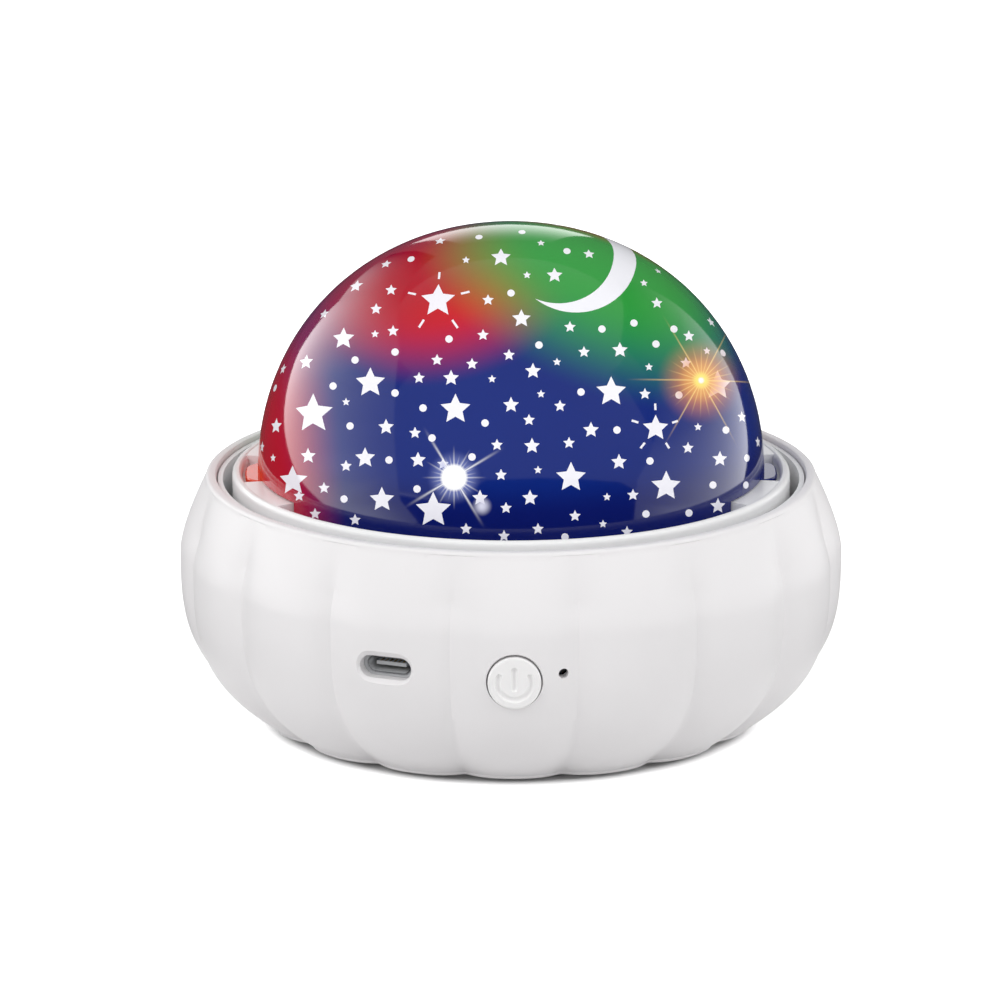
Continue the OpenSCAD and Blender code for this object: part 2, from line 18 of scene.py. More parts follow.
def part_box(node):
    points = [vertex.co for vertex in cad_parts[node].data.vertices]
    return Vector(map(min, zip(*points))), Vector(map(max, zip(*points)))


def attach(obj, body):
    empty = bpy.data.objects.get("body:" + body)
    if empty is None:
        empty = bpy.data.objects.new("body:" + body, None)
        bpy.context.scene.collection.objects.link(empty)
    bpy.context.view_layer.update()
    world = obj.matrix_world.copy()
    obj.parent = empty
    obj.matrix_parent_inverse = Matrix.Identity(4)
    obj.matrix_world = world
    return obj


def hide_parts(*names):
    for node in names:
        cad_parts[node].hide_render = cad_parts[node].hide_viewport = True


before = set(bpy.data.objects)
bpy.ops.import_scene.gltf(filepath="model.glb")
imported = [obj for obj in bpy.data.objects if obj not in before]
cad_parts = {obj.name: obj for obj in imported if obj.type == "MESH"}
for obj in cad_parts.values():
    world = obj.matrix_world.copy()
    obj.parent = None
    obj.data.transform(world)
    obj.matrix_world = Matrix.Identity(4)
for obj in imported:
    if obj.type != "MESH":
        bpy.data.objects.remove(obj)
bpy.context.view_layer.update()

MM = 0.001


def placed(name, data):
    """A new object in the scene."""
    obj = bpy.data.objects.new(name, data)
    bpy.context.collection.objects.link(obj)
    return obj


def aimed(name, data, place, target):
    """A camera or light at a place in metres, turned towards a target."""
    obj = placed(name, data)
    obj.location = place
    obj.rotation_euler = (Vector(target) - Vector(place)).to_track_quat("-Z", "Y").to_euler()
    return obj


# ---- Sizes ----

def span(name, axis):
    """Lowest and highest place of a node along an axis, in mm."""
    lo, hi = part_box(name)
    return lo[axis] / MM, hi[axis] / MM


HOUSING_Z = span("base_housing", 2)
BODY_R = span("base_housing", 0)[1]
BODY_H = HOUSING_Z[1] - HOUSING_Z[0]
BASE_Z, RIM_Z = HOUSING_Z
BASE_R = 48.2
RIM_R = 59.5
WAIST_H = BODY_H - 15.2
RIM_W = 1.7
LOBES = 16
LOBE_DEPTH = 1.6
WALL = 2.2
LOWER_POWER = 3.22
UPPER_POWER = 1.43
VALLEY_FADE = 10.0
COVER_R = span("bottom_cover", 0)[1] + 0.15
LIP_R = 39.8
COVER_TOP = BASE_Z + 1.4
LIP_TOP = COVER_TOP + 1.0
DECK_Z = RIM_Z - 15.8

DOME_Z, DOME_TOP = span("star_dome", 2)
DOME_SKIRT = 3.0
EQUATOR_Z = DOME_Z + DOME_SKIRT
DOME_R = span("star_dome", 1)[1]
DOME_H = DOME_TOP - EQUATOR_Z
DOME_WALL = 1.6
DOME_FULLNESS = 2.08
EAR_R = span("star_dome", 0)[1]
EAR_HALF_W = 8.0
EAR_Z = (RIM_Z - 1.2, RIM_Z)
NOTCH = (10.5, 32.0)
NOTCH_H = 4.1

FLANGE_W = 1.1
BUTTON_Z = sum(span("power_button", 2)) / 2
BUTTON_R = span("power_button", 2)[1] - BUTTON_Z - FLANGE_W
PORT_Z = BUTTON_Z + 1.4
PORT_ANGLE = -22.5
SLOT = (10.6, 4.4)
BUTTON_GAP = 0.24
HOLE_ANGLE = 8.4
HOLE_R = 1.0


# ---- Camera: the photograph's angle ----

IMAGE_PX = 1000
PX_PER_MM = 5.08
VIEW_ELEVATION = 15.3
VIEW_AZIMUTH = -0.5
CAMERA_DISTANCE = 1.5
AXIS_PX = (511.0, 568.1)
AXIS_POINT_Z = RIM_Z - 19.8


def view_axes():
    """The camera's place, and the middle, right and up of the picture, in metres."""
    elevation = math.radians(VIEW_ELEVATION)
    azimuth = math.radians(VIEW_AZIMUTH)
    ahead = Vector((-math.sin(azimuth) * math.cos(elevation),
                    math.cos(azimuth) * math.cos(elevation), -math.sin(elevation)))
    right = Vector((math.cos(azimuth), math.sin(azimuth), 0))
    up = right.cross(ahead)
    off_x = (IMAGE_PX / 2 - AXIS_PX[0]) / PX_PER_MM * MM
    off_y = (AXIS_PX[1] - IMAGE_PX / 2) / PX_PER_MM * MM
    target = Vector((0, 0, AXIS_POINT_Z * MM)) + right * off_x + up * off_y
    return target - ahead * CAMERA_DISTANCE, target, right, up


def make_camera():
    place, target, _, _ = view_axes()
    data = bpy.data.cameras.new("camera")
    data.lens = data.sensor_width * PX_PER_MM / MM * CAMERA_DISTANCE / IMAGE_PX
    data.clip_start = 0.1
    data.clip_end = 20
    bpy.context.scene.camera = aimed("camera", data, place, target)


make_camera()


# ---- Materials ----

def linear(code, alpha=1.0):
    """The linear colour of an sRGB hex value such as "f2f0f1"."""
    channels = [int(code[i:i + 2], 16) / 255 for i in (0, 2, 4)]
    return [c / 12.92 if c <= 0.04045 else ((c + 0.055) / 1.055) ** 2.4 for c in channels] + [alpha]


def add(tree, kind, inputs=None, **settings):
    """Adds a node; inputs are values or sockets by input name or number."""
    made = tree.nodes.new("ShaderNode" + kind)
    for name, value in settings.items():
        setattr(made, name, value)
    for name, value in (inputs or {}).items():
        if isinstance(value, bpy.types.NodeSocket):
            tree.links.new(value, made.inputs[name])
        else:
            made.inputs[name].default_value = value
    return made


def surface(name, sockets, build=None):
    """A Principled material; build(tree, shader, place) adds its detail."""
    material = bpy.data.materials.new(name)
    material.use_nodes = True
    tree = material.node_tree
    shader = tree.nodes["Principled BSDF"]
    for socket, value in sockets.items():
        shader.inputs[socket].default_value = value
    if build:
        build(tree, shader, add(tree, "TexCoord").outputs["Object"])
    return material


def grain(tree, place, spacing, detail=2.0):
    """Noise whose features are about spacing mm apart."""
    return add(tree, "TexNoise", {"Vector": place, "Scale": 1 / (spacing * MM),
                                  "Detail": detail}).outputs["Fac"]


def bump(tree, shader, height, depth, strength=1.0):
    """Relief of about depth mm."""
    relief = add(tree, "Bump", {"Height": height, "Distance": depth * MM, "Strength": strength})
    tree.links.new(relief.outputs["Normal"], shader.inputs["Normal"])


def blend(tree, share, under, over):
    """Mixes two colours, each a socket or an sRGB hex value."""
    under, over = (linear(c) if isinstance(c, str) else c for c in (under, over))
    return add(tree, "Mix", {"Factor": share, "A": under, "B": over},
               data_type="RGBA").outputs["Result"]


def ramp(tree, value, start, end, low=0.0, high=1.0, shape="SMOOTHSTEP"):
    """Goes from low to high while the value goes from start to end."""
    return add(tree, "MapRange", {"Value": value, "From Min": start, "From Max": end,
                                  "To Min": low, "To Max": high},
               interpolation_type=shape).outputs["Result"]


def reckon(tree, operation, *values):
    """One step of arithmetic."""
    return add(tree, "Math", dict(enumerate(values)), operation=operation).outputs[0]


def vector(tree, operation, *values):
    """One step with vectors; a length or a dot product is a plain value."""
    made = add(tree, "VectorMath", dict(enumerate(values)), operation=operation)
    return made.outputs["Value" if operation in ("LENGTH", "DOT_PRODUCT") else "Vector"]


def moulded(name, low, high, roughness, texture_mm, texture_depth, coat=0.0, sheen=0.5):
    """Injection-moulded plastic: an even colour with the tool's fine texture."""
    def build(tree, shader, place):
        cloud = grain(tree, place, 28)
        tree.links.new(blend(tree, cloud, low, high), shader.inputs["Base Color"])
        fine = grain(tree, place, texture_mm, 3)
        rough = ramp(tree, fine, 0.0, 1.0, roughness - 0.04, roughness + 0.05, "LINEAR")
        tree.links.new(rough, shader.inputs["Roughness"])
        bump(tree, shader, fine, texture_depth)
    sockets = {"IOR": 1.52, "Coat Weight": coat, "Coat Roughness": 0.12,
               "Specular IOR Level": sheen}
    return surface(name, sockets, build)


def metal(name, low, high, roughness, texture_mm, stretch=(1, 1, 1)):
    """Bare or plated metal whose fine lines run the way it was drawn or turned."""
    def build(tree, shader, place):
        drawn = add(tree, "Mapping", {"Vector": place, "Scale": stretch}).outputs["Vector"]
        lines = grain(tree, drawn, texture_mm, 3)
        tree.links.new(blend(tree, lines, low, high), shader.inputs["Base Color"])
        rough = ramp(tree, lines, 0.0, 1.0, roughness - 0.06, roughness + 0.1, "LINEAR")
        tree.links.new(rough, shader.inputs["Roughness"])
        bump(tree, shader, lines, 0.01)
    return surface(name, {"Metallic": 1.0}, build)


def lamp_lens(name, low, high, glow, strength):
    """Cast epoxy lamp: clear and glossy, glowing all over with the chip's light."""
    def build(tree, shader, place):
        haze = grain(tree, place, 1.5)
        tree.links.new(blend(tree, haze, low, high), shader.inputs["Base Color"])
    sockets = {"Roughness": 0.08, "IOR": 1.55, "Emission Color": linear(glow),
               "Emission Strength": strength, "Subsurface Weight": 0.2, "Subsurface Scale": 0.002}
    return surface(name, sockets, build)


# ABS with a spark-eroded mould texture: soft sheen and no sharp reflections.
abs_matte = moulded("ABS_matte_moulded", "f0eeef", "f5f3f4", 0.46, 0.35, 0.012, sheen=0.3)
# ABS from a smoother mould: brighter than the housing, with a thin clear coat.
abs_polished = moulded("ABS_polished_moulded", "f8f8f8", "fcfcfc", 0.34, 1.2, 0.004, 0.1, 0.35)
# ABS inside the housing: satin.
abs_satin = moulded("ABS_satin_moulded", "ededee", "f3f3f4", 0.36, 0.6, 0.008)
# Button ABS: brighter and smoother than the housing, so that it stands out.
abs_button = moulded("ABS_button_moulded", "f8f7f7", "fcfbfb", 0.32, 0.5, 0.005)
# Acetal gear: waxy, slightly yellow.
acetal = moulded("acetal_moulded", "efe9d6", "f6f1e0", 0.34, 0.5, 0.004)
# Nylon switch and battery holder: near black with a matte skin.
nylon = moulded("nylon_black_moulded", "151517", "1e1e21", 0.48, 0.4, 0.01)
# Grey nylon tongue and lining of the socket, pale enough to show inside the slot.
nylon_grey = moulded("nylon_grey_moulded", "b9bbbd", "c3c5c7", 0.4, 0.4, 0.005)
# Soft gasket round the socket: plain matte grey.
gasket_rubber = moulded("silicone_grey_moulded", "b0b2b4", "b9bbbd", 0.6, 0.4, 0.01)
# Rubber feet: matte and slightly dusty.
rubber = moulded("rubber_moulded", "26272a", "323337", 0.72, 0.3, 0.02)
# Shrink sleeve on the cell: glossy PVC film.
shrink_sleeve = moulded("PVC_shrink_sleeve", "1d5f9e", "2368aa", 0.22, 2.5, 0.02)
# Solder mask over glass cloth: the weave shows as a faint relief.
solder_mask = moulded("epoxy_solder_mask", "0d4a26", "12572e", 0.28, 0.45, 0.01, 0.4)
# Zinc-plated steel: pale, slightly blue.
zinc_steel = metal("steel_zinc_plated", "b9bec6", "d2d6dc", 0.3, 0.25)
# Drawn sheet steel of the motor: lines run up its side.
drawn_steel = metal("steel_drawn_sheet", "a8aaac", "c4c6c8", 0.34, 0.4, (1, 1, 0.08))
# Stamped stainless shell of the socket.
stainless = metal("stainless_stamped", "a9abae", "c2c4c7", 0.28, 0.3)
# Stamped brass contacts.
brass = metal("brass_stamped", "b8933f", "cfab57", 0.26, 0.3)
led_red = lamp_lens("epoxy_lens_red", "b3120f", "d1201a", "ff2a1c", 0.5)
led_green = lamp_lens("epoxy_lens_green", "0f9a2e", "1bb53d", "2aff55", 0.35)
led_blue = lamp_lens("epoxy_lens_blue", "1224b5", "1f37d2", "2b45ff", 0.5)
led_smoky = lamp_lens("epoxy_lens_smoky", "66676b", "77787c", "ffffff", 0.0)
led_white = lamp_lens("epoxy_lens_clear", "d9dad2", "eeeee8", "fff4e0", 0.3)

CAD_FINISHES = {
    "bottom_cover": abs_matte, "chassis": abs_satin, "turntable": abs_polished,
    "lamp_deck": abs_polished, "led_holder": abs_polished, "rubber_feet": rubber,
    "drive_gear": acetal, "motor_shaft": zinc_steel, "motor_screws": zinc_steel,
    "board_screws": zinc_steel, "cover_screws": zinc_steel, "lamp_deck_screws": zinc_steel,
    "motor_gearcase": drawn_steel, "motor_can": drawn_steel, "led_board": solder_mask,
    "control_board": solder_mask, "red_led": led_red, "green_led": led_green,
    "blue_led": led_blue, "white_led": led_white, "indicator_led": led_smoky,
    "charging_port": stainless, "power_switch": nylon, "switch_plunger": nylon,
    "battery": shrink_sleeve, "battery_holder": nylon, "battery_contacts": brass,
}


def dress_cad_nodes():
    for name, material in CAD_FINISHES.items():
        slots = bpy.data.objects[name].data.materials
        slots.clear()
        slots.append(material)


dress_cad_nodes()


# ---- Meshes ----

def mesh_of(name, verts, faces):
    """A new mesh from places in mm."""
    mesh = bpy.data.meshes.new(name)
    mesh.from_pydata([Vector(v) * MM for v in verts], [], faces)
    return mesh


def piece(name, verts, faces, materials, body, slot, *nodes):
    """A mesh piece in mm that rides on a body and replaces CAD nodes."""
    obj = placed(name, mesh_of(name, verts, faces))
    for material in materials:
        obj.data.materials.append(material)
    if nodes:
        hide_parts(*nodes)
    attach(obj, body)
    return obj


def face_outwards(mesh, weld=True):
    """Points every face of a closed mesh outwards, after welding points that meet."""
    bm = bmesh.new()
    bm.from_mesh(mesh)
    if weld:
        bmesh.ops.remove_doubles(bm, verts=bm.verts, dist=1e-7)
    bmesh.ops.recalc_face_normals(bm, faces=bm.faces)
    bm.to_mesh(mesh)
    bm.free()


def smooth(obj, angle=35):
    """Shades smooth, with creases left where faces meet at more than the angle."""
    mesh = obj.data
    mesh.shade_smooth()
    mesh.set_sharp_from_angle(angle=math.radians(angle))


def turned(profile, steps, radius_of=None):
    """Closed surface turned round Z from a closed (r, z) profile."""
    verts, faces = [], []
    count = len(profile)
    for i in range(steps):
        a = 2 * math.pi * i / steps
        for j, (r, z) in enumerate(profile):
            rr = radius_of(j, r, z, math.degrees(a)) if radius_of else r
            verts.append((rr * math.sin(a), -rr * math.cos(a), z))
    for i in range(steps):
        here, ahead = i * count, (i + 1) % steps * count
        for j in range(count):
            m = (j + 1) % count
            faces.append((here + j, ahead + j, ahead + m, here + m))
    return verts, faces


def cutter(name, verts, faces):
    """A closed mesh in mm for cutting; it is deleted after use."""
    mesh = mesh_of(name, verts, faces)
    face_outwards(mesh, weld=False)
    return placed(name, mesh)


def cut(obj, tools):
    """Subtracts each tool from the object's mesh and deletes the tool."""
    for tool in tools:
        change = obj.modifiers.new("cut", "BOOLEAN")
        change.operation = "DIFFERENCE"
        change.solver = "EXACT"
        change.object = tool
        bpy.context.view_layer.update()
        graph = bpy.context.evaluated_depsgraph_get()
        result = bpy.data.meshes.new_from_object(obj.evaluated_get(graph))
        obj.modifiers.clear()
        obj.data = result
        bpy.data.objects.remove(tool)


def loft(rings):
    """Closed surface through rings of equal point counts, capped at both ends."""
    count = len(rings[0])
    verts = [p for ring in rings for p in ring]
    faces = []
    for j in range(len(rings) - 1):
        for i in range(count):
            k = (i + 1) % count
            faces.append((j * count + i, j * count + k, (j + 1) * count + k, (j + 1) * count + i))
    faces.append(tuple(reversed(range(count))))
    faces.append(tuple((len(rings) - 1) * count + i for i in range(count)))
    return verts, faces


def joined(parts):
    """The points and faces of several parts as one."""
    verts, faces = [], []
    for points, sides in parts:
        faces += [tuple(i + len(verts) for i in side) for side in sides]
        verts += points
    return verts, faces


def from_front(angle, depth, x, z):
    """A point at a depth from the axis, turned by an angle from the front."""
    a = math.radians(angle)
    return (x * math.cos(a) + depth * math.sin(a), x * math.sin(a) - depth * math.cos(a), z)


def quarter_turn(steps):
    """Angles from 0 to 90 degrees, in radians."""
    return [math.radians(90 * i / steps) for i in range(steps + 1)]


# ---- Housing ----

HOUSING_COLUMNS = LOBES * 24
VALLEY_SOFT = 0.06
LOBE_POWER = 2.6
CREASE_DEPTH = 2.4


def crest_r(h):
    if h < WAIST_H:
        return BODY_R - (BODY_R - BASE_R) * (1 - h / WAIST_H) ** LOWER_POWER
    share = (h - WAIST_H) / (BODY_H - WAIST_H)
    return BODY_R - (BODY_R - RIM_R) * share ** UPPER_POWER


def lobe_share(angle):
    """0 on a crest and nearly 1 in a valley, whose crease is slightly rounded."""
    turn = angle * LOBES / 360
    off = 2 * abs(turn - round(turn))
    over = max(0.0, off - (1 - VALLEY_SOFT))
    return off ** LOBE_POWER - over ** 2 * LOBE_POWER / (2 * VALLEY_SOFT)


def valley_depth(h):
    return CREASE_DEPTH * min(1.0, max(0.0, (BODY_H - h) / VALLEY_FADE))


def housing_profile():
    """Closed half section (r, z, lobed share) of the housing."""
    edge, top_edge, lip = 0.7, 0.8, 0.35
    outer = [(crest_r(edge) - edge * (1 - math.sin(t)), BASE_Z + edge * (1 - math.cos(t)), 1)
             for t in quarter_turn(4)]
    rows = 56
    top = BODY_H - top_edge
    for i in range(1, rows + 1):
        h = edge + (top - edge) * i / rows
        outer.append((crest_r(h), BASE_Z + h, 1))
    outer += [(crest_r(top) - top_edge * (1 - math.cos(t)), RIM_Z - top_edge * (1 - math.sin(t)), 0)
              for t in quarter_turn(6)[1:]]
    inner_r = RIM_R - RIM_W
    outer += [(inner_r + lip * (1 - math.sin(t)), RIM_Z - lip * (1 - math.cos(t)), 0)
              for t in quarter_turn(3)]
    inner = [(inner_r, DECK_Z, 0)]
    steps = 10
    for i in range(steps, -1, -1):
        h = LIP_TOP - BASE_Z + (DECK_Z - LIP_TOP) * i / steps
        inner.append((crest_r(h) - LOBE_DEPTH - WALL, BASE_Z + h, 0))
    inner += [(LIP_R, LIP_TOP, 0), (LIP_R, COVER_TOP, 0), (COVER_R, COVER_TOP, 0), (COVER_R, BASE_Z, 0)]
    return outer + inner


def capsule(width, height, steps=10):
    """Outline of a slot with round ends, as (x, z) points."""
    points = []
    for side in (1, -1):
        for i in range(steps + 1):
            t = math.radians(-90 + 180 * i / steps)
            points.append((side * ((width - height) / 2 + height / 2 * math.cos(t)),
                           side * height / 2 * math.sin(t)))
    return points


def dished_cut(name, angle, z, sections):
    """A cutter through the wall whose outline changes with depth."""
    rings = [[from_front(angle, depth, x, z + y) for x, y in outline]
             for depth, outline in sections]
    return cutter(name, *loft(rings))


def circle(radius, steps=48):
    return [(radius * math.cos(2 * math.pi * i / steps), radius * math.sin(2 * math.pi * i / steps))
            for i in range(steps)]


def make_housing():
    profile = housing_profile()
    lobed = [p[2] for p in profile]

    def radius_of(j, r, z, angle):
        if not lobed[j]:
            return r
        return r - valley_depth(z - BASE_Z) * lobe_share(angle)

    verts, faces = turned([(r, z) for r, z, _ in profile], HOUSING_COLUMNS, radius_of)
    housing = piece("housing_shell", verts, faces, [abs_matte], "base", "housing_plastic", "base_housing")
    outside, inside = BODY_R + 1.5, BODY_R - 9
    port_skin = crest_r(PORT_Z - BASE_Z)
    slot_w, slot_h = SLOT
    slot_sections = [(depth, capsule(slot_w + wider, slot_h + wider)) for depth, wider in (
        (outside, 4.8), (port_skin, 2.3), (port_skin - 0.45, 1.4), (port_skin - 0.8, 0.6),
        (port_skin - 1.15, 0), (inside, 0))]
    bore_r = BUTTON_R + BUTTON_GAP
    button_skin = crest_r(BUTTON_Z - BASE_Z)
    bore_sections = [(depth, circle(bore_r + wider)) for depth, wider in (
        (outside, 0.8), (button_skin - 0.35, 0.25), (button_skin - 0.7, 0), (inside, 0))]
    hole_sections = [(depth, circle(HOLE_R + wider, 24)) for depth, wider in (
        (outside, 0.5), (port_skin - 0.35, 0), (inside, 0))]
    cut(housing, [dished_cut("slot_cut", PORT_ANGLE, PORT_Z, slot_sections),
                  dished_cut("bore_cut", 0, BUTTON_Z, bore_sections),
                  dished_cut("hole_cut", HOLE_ANGLE, PORT_Z, hole_sections)])
    smooth(housing, 30)


make_housing()


# ---- Charging port ----

SHELL_W, SHELL_H = 8.94, 3.26
SHELL_WALL = 0.3
PORT_FRONT = BODY_R - 3.1
PORT_BACK = PORT_FRONT - 7.35
TONGUE = (6.1, 0.7)
TONGUE_FRONT = PORT_FRONT - 1.2


def port_ring(depth, width, height):
    return [from_front(PORT_ANGLE, depth, x, PORT_Z + y) for x, y in capsule(width, height)]


def box_faces(lo, hi):
    """A box in the port's own axes: across, depth and height."""
    corners = [from_front(PORT_ANGLE, d, x, PORT_Z + z)
               for z in (lo[2], hi[2]) for d in (lo[1], hi[1]) for x in (lo[0], hi[0])]
    return corners, [(0, 1, 3, 2), (4, 6, 7, 5), (0, 4, 5, 1), (2, 3, 7, 6), (0, 2, 6, 4), (1, 5, 7, 3)]


def make_port():
    inner_w, inner_h = SHELL_W - 2 * SHELL_WALL, SHELL_H - 2 * SHELL_WALL
    lip = 0.12
    shell = loft([port_ring(*ring) for ring in (
        (PORT_BACK, SHELL_W, SHELL_H), (PORT_FRONT - lip, SHELL_W, SHELL_H),
        (PORT_FRONT, SHELL_W - lip, SHELL_H - lip), (PORT_FRONT, inner_w + lip, inner_h + lip),
        (PORT_FRONT - lip, inner_w, inner_h), (PORT_BACK + SHELL_WALL, inner_w, inner_h))])
    # Steel outside and round the mouth, and the grey lining from there to the back.
    around = len(shell[1]) // 5
    finish = [0] * (4 * around) + [1] * around + [0, 1]
    tongue_w, tongue_h = TONGUE
    tongue = box_faces((-tongue_w / 2, PORT_BACK + 0.2, -tongue_h / 2),
                       (tongue_w / 2, TONGUE_FRONT, tongue_h / 2))
    legs_z = span("charging_port", 2)[0] - PORT_Z
    legs_half_w = SHELL_W / 2 - 0.4
    legs = box_faces((-legs_half_w, PORT_BACK, legs_z),
                     (legs_half_w, PORT_FRONT - 2.4, 0.15 - SHELL_H / 2))
    parts = [shell, tongue, legs]
    finish += [1] * 6 + [0] * 6
    strips, pitch, strip_half_w, strip_h = 6, 0.9, 0.14, 0.03
    for side in (1, -1):
        for i in range(strips):
            x = (i - (strips - 1) / 2) * pitch
            low, high = sorted((side * tongue_h / 2, side * (tongue_h / 2 + strip_h)))
            parts.append(box_faces((x - strip_half_w, PORT_BACK + 1, low),
                                   (x + strip_half_w, TONGUE_FRONT - 0.25, high)))
            finish += [2] * 6
    port = piece("charging_socket", *joined(parts), [stainless, nylon_grey, brass], "base",
                 "port_steel", "charging_port")
    port.data.polygons.foreach_set("material_index", finish)
    face_outwards(port.data)
    smooth(port, 40)


def make_port_gasket():
    """Soft grey gasket that fills the slot around the socket."""
    gap = 0.05
    wide, high = (size - 2 * gap for size in SLOT)
    back, front = PORT_FRONT - 0.7, PORT_FRONT - 0.2
    rings = [port_ring(back, wide, high), port_ring(front, wide, high),
             port_ring(front, SHELL_W + gap, SHELL_H + gap),
             port_ring(back, SHELL_W + gap, SHELL_H + gap)]
    verts, faces = loft(rings + [rings[0]])
    gasket = piece("port_gasket", verts, faces[:-2], [gasket_rubber], "base", "foot_rubber")
    face_outwards(gasket.data)
    smooth(gasket, 40)


make_port()
make_port_gasket()


# ---- Button with its power sign ----

SIGN_R = 3.2
SIGN_LINE = 0.62
SIGN_DEPTH = 0.55
SIGN_GAP = 66
SIGN_BAR = (-1.7, 3.2)


def tube(path, radius, steps=14):
    """Closed tube with round ends along a path in the button's face, as (x, y, z)."""
    rings = []
    count = len(path)
    for i, (x, z) in enumerate(path):
        ahead = path[min(i + 1, count - 1)]
        behind = path[max(i - 1, 0)]
        along = Vector((ahead[0] - behind[0], 0, ahead[1] - behind[1])).normalized()
        side = Vector((0, 1, 0)).cross(along)
        rings.append((Vector((x, 0, z)), along, side))
    caps = quarter_turn(4)[:-1]
    first, last = rings[0], rings[-1]
    start = [(first[0] - first[1] * radius * math.sin(t), first[2], radius * math.cos(t))
             for t in reversed(caps)]
    body = [(middle, side, radius) for middle, _, side in rings[1:-1]]
    end = [(last[0] + last[1] * radius * math.sin(t), last[2], radius * math.cos(t)) for t in caps]
    loops = []
    for middle, side, r in start + body + end:
        loops.append([tuple(middle + side * r * math.cos(2 * math.pi * k / steps)
                            + Vector((0, 1, 0)) * r * math.sin(2 * math.pi * k / steps))
                      for k in range(steps)])
    return loft(loops)


def sign_cutters(face_y):
    """The power sign's arc and bar, sunk a little below the face."""
    lift = Vector((0, face_y - SIGN_LINE + SIGN_DEPTH, BUTTON_Z))
    sweep = 360 - 2 * SIGN_GAP
    turns = [math.radians(90 + SIGN_GAP + sweep * i / 40) for i in range(41)]
    arc = [(SIGN_R * math.cos(a), SIGN_R * math.sin(a)) for a in turns]
    foot, head = SIGN_BAR
    bar = [(0, foot + SIGN_LINE + (head - foot - 2 * SIGN_LINE) * i / 6) for i in range(7)]
    tools = []
    for name, path in (("sign_arc", arc), ("sign_bar", bar)):
        verts, faces = tube(path, SIGN_LINE)
        tools.append(cutter(name, [Vector(v) + lift for v in verts], faces))
    return tools


def make_button():
    face_y, back_y = span("power_button", 1)
    edge, stem_r, middle_r = 0.45, 1.6, 0.001
    flange_r, flange_y = BUTTON_R + FLANGE_W, 6.1 - BODY_R
    flange_back = flange_y + 1
    profile = [(middle_r, face_y)]
    profile += [(BUTTON_R - edge * (1 - math.sin(t)), face_y + edge * (1 - math.cos(t)))
                for t in quarter_turn(6)]
    profile += [(BUTTON_R, flange_y), (flange_r, flange_y), (flange_r, flange_back),
                (stem_r, flange_back), (stem_r, back_y), (middle_r, back_y)]
    rings = [[(x, y, BUTTON_Z + z) for x, z in circle(r, 96)] for r, y in profile]
    button = piece("button_cap", *loft(rings), [abs_button], "button", "button_plastic",
                   "power_button")
    face_outwards(button.data)
    cut(button, sign_cutters(face_y))
    smooth(button, 40)


make_button()


# ---- Dome: clear shell with the star print ----

# Large stars: azimuth from the front, elevation, and size in mm.
LARGE_STARS = [
    (-30, 55, 3.4), (-56, 22, 3.9), (-40, 32, 2.95), (-14.5, 28.5, 2.95), (-18, 6, 3.5),
    (-30.5, 7, 2.45), (-36, 15.5, 2.0), (-59, 6, 2.95), (-58, 40, 2.2), (26, 31.5, 2.95),
    (13, 13.5, 2.95), (36.5, 9, 2.95), (36, 22, 2.55), (63, 27, 2.95), (-8, 72, 2.0),
    (22, 64, 1.6), (3, 51, 1.85), (-100, 30, 3.2), (-128, 14, 3.6), (-150, 42, 3.0),
    (-172, 20, 2.9), (166, 50, 3.2), (148, 12, 3.6), (122, 34, 2.9), (104, 10, 2.8),
    (130, 58, 2.4), (-140, 58, 2.4), (178, 3, 2.6),
]
RAYED_STARS = [(-30, 55, 3.4), (36, 22, 2.55), (-150, 42, 3.0)]
# Smaller stars and dots of the side in the photograph, read from it as
# pixels across and down; the rest of the dome is strewn at random.
MEDIUM_STARS = [
    (356, 286), (306, 362), (451, 378), (511, 405), (386, 427), (276, 426), (308, 456),
    (418, 460), (480, 498), (591, 430), (532, 446), (619, 462), (720, 459), (530, 498),
    (718, 506), (620, 350), (533, 371),
]
SMALL_STARS = [
    (440, 241), (386, 264), (391, 290), (488, 300), (376, 309), (324, 314), (393, 331),
    (483, 335), (437, 360), (472, 364), (419, 378), (509, 355), (283, 369), (415, 433),
    (497, 445), (346, 466), (443, 464), (324, 488), (501, 475), (506, 508), (466, 529),
    (299, 496), (315, 514), (355, 520), (504, 536), (262, 447), (645, 394), (560, 406),
    (529, 420), (742, 417), (569, 443), (688, 448), (758, 442), (633, 495), (575, 516),
    (538, 529), (627, 532), (589, 254), (570, 327), (657, 303), (689, 336), (584, 352),
    (711, 322), (686, 363),
]
TINY_STARS = [
    (466, 260), (375, 334), (492, 379), (346, 402), (273, 458), (541, 394), (698, 427),
    (538, 470), (607, 497), (603, 524), (541, 243), (527, 275), (644, 283), (557, 362),
    (649, 367), (707, 351), (658, 271),
]
DOTS = [
    (411, 259), (479, 237), (511, 293), (449, 339), (395, 352), (355, 360), (333, 386),
    (395, 393), (275, 388), (522, 232), (423, 408), (485, 423), (350, 426), (432, 438),
    (389, 460), (472, 457), (417, 489), (344, 499), (581, 392), (679, 395), (617, 430),
    (726, 430), (650, 461), (747, 458), (713, 485), (746, 485), (646, 514), (689, 513),
    (565, 537), (567, 251), (602, 329), (634, 323), (674, 329), (656, 344), (539, 345),
    (723, 353),
]
DOT_R = 0.72
PRINT_SEEN = [("star", 1.55, MEDIUM_STARS), ("star", 1.15, SMALL_STARS), ("star", 0.8, TINY_STARS),
              ("dot", DOT_R, DOTS)]
STAR_WAIST = 0.48
# Motifs are drawn for a look from the front, up to this lean from their own normal,
# and the lean fades out where the dome turns away from the front.
LEAN_MOST = math.radians(60)
LEAN_FADE = 0.15
RAY_SPAN = (1.35, 1.85)
RAY_HALF_W = 0.21
# Room kept free round the rays, as a share of the star, and round the moon's edge.
RAY_ROOM = 2.2
MOON_ROOM = 1.4
